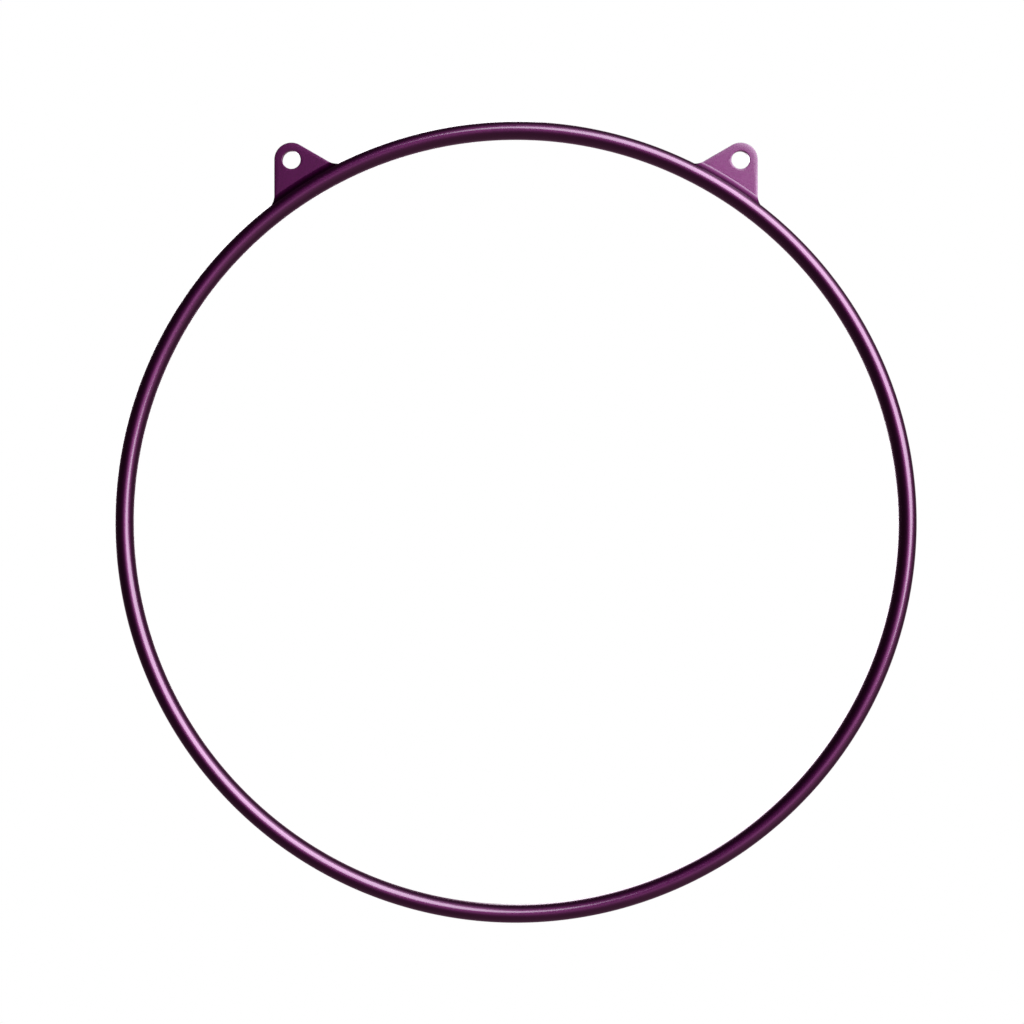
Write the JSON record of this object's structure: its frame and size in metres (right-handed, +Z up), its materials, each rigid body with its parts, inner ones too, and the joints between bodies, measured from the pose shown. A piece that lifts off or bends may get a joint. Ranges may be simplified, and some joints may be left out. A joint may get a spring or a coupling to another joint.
{
  "type": "aerial hoop",
  "caption": "Rigid round tube hoop for aerial gymnastics, with two welded flat tabs whose round holes take carabiners or shackles.",
  "frame": {"origin": "hanging point: midway between the centres of the two tabs' holes, in the hoop's middle plane, 497 mm above the ring's centre", "axes": "+Z up, from the ring's centre towards the hanging point; +Y along the ring's axis, with the front facing -Y; +X to the right seen from the front"},
  "size_m": [1.1, 0.025, 1.1],
  "materials": {
    "powder_coat": "satin metallic purple powder coat",
    "bare_steel": "bare mill-finished tube"
  },
  "bodies": {
    "root": {"hoop_tube": "powder_coat", "joint_sleeve": "bare_steel", "joint_weld": "powder_coat", "left_tab": "powder_coat", "left_tab_front_weld": "powder_coat", "left_tab_back_weld": "powder_coat", "right_tab": "powder_coat", "right_tab_front_weld": "powder_coat", "right_tab_back_weld": "powder_coat"}
  },
  "joints": []
}
